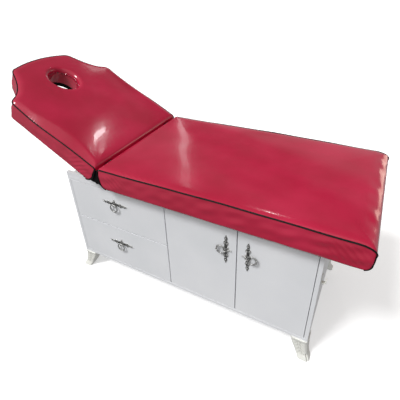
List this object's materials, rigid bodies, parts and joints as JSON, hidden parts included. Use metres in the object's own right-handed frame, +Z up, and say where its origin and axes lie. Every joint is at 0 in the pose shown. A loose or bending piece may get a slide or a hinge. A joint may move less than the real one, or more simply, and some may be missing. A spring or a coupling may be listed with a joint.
{
  "type": "facial treatment bed",
  "caption": "Facial treatment bed: crimson padded top with a tilting head section and face hole, on a white cabinet with drawers, cupboard doors, ring pulls and carved feet.",
  "frame": {"origin": "on the floor, under the middle of the whole bed's outline with the head section raised 29 degrees", "axes": "+X from the head end to the foot end, +Y from the cabinet's front to its back, +Z up"},
  "size_m": [1.7544, 0.65, 1.0443],
  "materials": {
    "crimson_vinyl": "gloss",
    "plywood": "matte",
    "white_melamine": "satin",
    "black_steel": "satin",
    "zinc_steel": "satin",
    "pewter": "satin",
    "cream_gloss": "gloss",
    "black_plastic": "satin"
  },
  "bodies": {
    "cabinet": {"main_pad": "crimson_vinyl", "main_board": "plywood", "hinge_fixed_leaf_front": "black_steel", "hinge_fixed_leaf_rear": "black_steel", "hinge_pin_front": "zinc_steel", "hinge_pin_rear": "zinc_steel", "stay_clamp": "black_steel", "cabinet_bottom": "white_melamine", "cabinet_top": "white_melamine", "end_panel_head": "white_melamine", "end_panel_foot": "white_melamine", "divider_panel": "white_melamine", "back_panel": "white_melamine", "cupboard_shelf": "white_melamine", "bed_rail_front": "white_melamine", "bed_rail_rear": "white_melamine", "foot_front_head": "cream_gloss", "foot_front_foot": "cream_gloss", "foot_rear_head": "cream_gloss", "foot_rear_foot": "cream_gloss", "side_hook": "cream_gloss", "drawer_upper_runner_fixed_left": "zinc_steel", "drawer_upper_runner_fixed_right": "zinc_steel", "drawer_lower_runner_fixed_left": "zinc_steel", "drawer_lower_runner_fixed_right": "zinc_steel", "door_left_hinge_lower": "zinc_steel", "door_left_hinge_upper": "zinc_steel", "door_right_hinge_lower": "zinc_steel", "door_right_hinge_upper": "zinc_steel"},
    "head_section": {"head_pad": "crimson_vinyl", "head_board": "plywood", "hinge_moving_leaf_front": "black_steel", "hinge_moving_leaf_rear": "black_steel", "stay_arc": "black_steel"},
    "clamp_knob": {"clamp_knob": "black_plastic"},
    "drawer_upper": {"drawer_upper_front": "white_melamine", "drawer_upper_side_left": "white_melamine", "drawer_upper_side_right": "white_melamine", "drawer_upper_back": "white_melamine", "drawer_upper_bottom": "white_melamine", "drawer_upper_runner_moving_left": "zinc_steel", "drawer_upper_runner_moving_right": "zinc_steel", "drawer_upper_handle_plate": "pewter"},
    "drawer_upper_ring": {"drawer_upper_ring": "pewter"},
    "drawer_lower": {"drawer_lower_front": "white_melamine", "drawer_lower_side_left": "white_melamine", "drawer_lower_side_right": "white_melamine", "drawer_lower_back": "white_melamine", "drawer_lower_bottom": "white_melamine", "drawer_lower_runner_moving_left": "zinc_steel", "drawer_lower_runner_moving_right": "zinc_steel", "drawer_lower_handle_plate": "pewter"},
    "drawer_lower_ring": {"drawer_lower_ring": "pewter"},
    "door_left": {"door_left": "white_melamine", "door_left_handle_plate": "pewter"},
    "door_left_ring": {"door_left_ring": "pewter"},
    "door_right": {"door_right": "white_melamine", "door_right_handle_plate": "pewter"},
    "door_right_ring": {"door_right_ring": "pewter"}
  },
  "joints": [
    {"name": "head_tilt", "type": "hinge", "parent": "cabinet", "child": "head_section", "pos_m": [-0.21584, 0, 0.69], "axis": [0, 1, 0], "range_deg": [-29, 31]},
    {"name": "clamp_turn", "type": "hinge", "parent": "cabinet", "child": "clamp_knob", "pos_m": [-0.30671, 0.25, 0.55528], "axis": [0, 1, 0], "range_deg": [0, 360]},
    {"name": "drawer_upper_slide", "type": "slide", "parent": "cabinet", "child": "drawer_upper", "axis": [0, -1, 0], "range_m": [0, 0.225]},
    {"name": "drawer_lower_slide", "type": "slide", "parent": "cabinet", "child": "drawer_lower", "axis": [0, -1, 0], "range_m": [0, 0.225]},
    {"name": "door_left_swing", "type": "hinge", "parent": "cabinet", "child": "door_left", "pos_m": [0.09216, -0.2815, 0.3395], "axis": [0, 0, -1], "range_deg": [0, 90]},
    {"name": "door_right_swing", "type": "hinge", "parent": "cabinet", "child": "door_right", "pos_m": [0.72116, -0.2815, 0.3395], "axis": [0, 0, 1], "range_deg": [0, 90]},
    {"name": "drawer_upper_ring_swing", "type": "hinge", "parent": "drawer_upper", "child": "drawer_upper_ring", "pos_m": [-0.18684, -0.2923, 0.498], "axis": [-1, 0, 0], "range_deg": [-8, 90]},
    {"name": "drawer_lower_ring_swing", "type": "hinge", "parent": "drawer_lower", "child": "drawer_lower_ring", "pos_m": [-0.18684, -0.2923, 0.256], "axis": [-1, 0, 0], "range_deg": [-8, 90]},
    {"name": "door_left_ring_swing", "type": "hinge", "parent": "door_left", "child": "door_left_ring", "pos_m": [0.37516, -0.2923, 0.455], "axis": [0, 0, 1], "range_deg": [-8, 90]},
    {"name": "door_right_ring_swing", "type": "hinge", "parent": "door_right", "child": "door_right_ring", "pos_m": [0.46816, -0.2923, 0.45], "axis": [0, 0, -1], "range_deg": [-8, 90]}
  ]
}
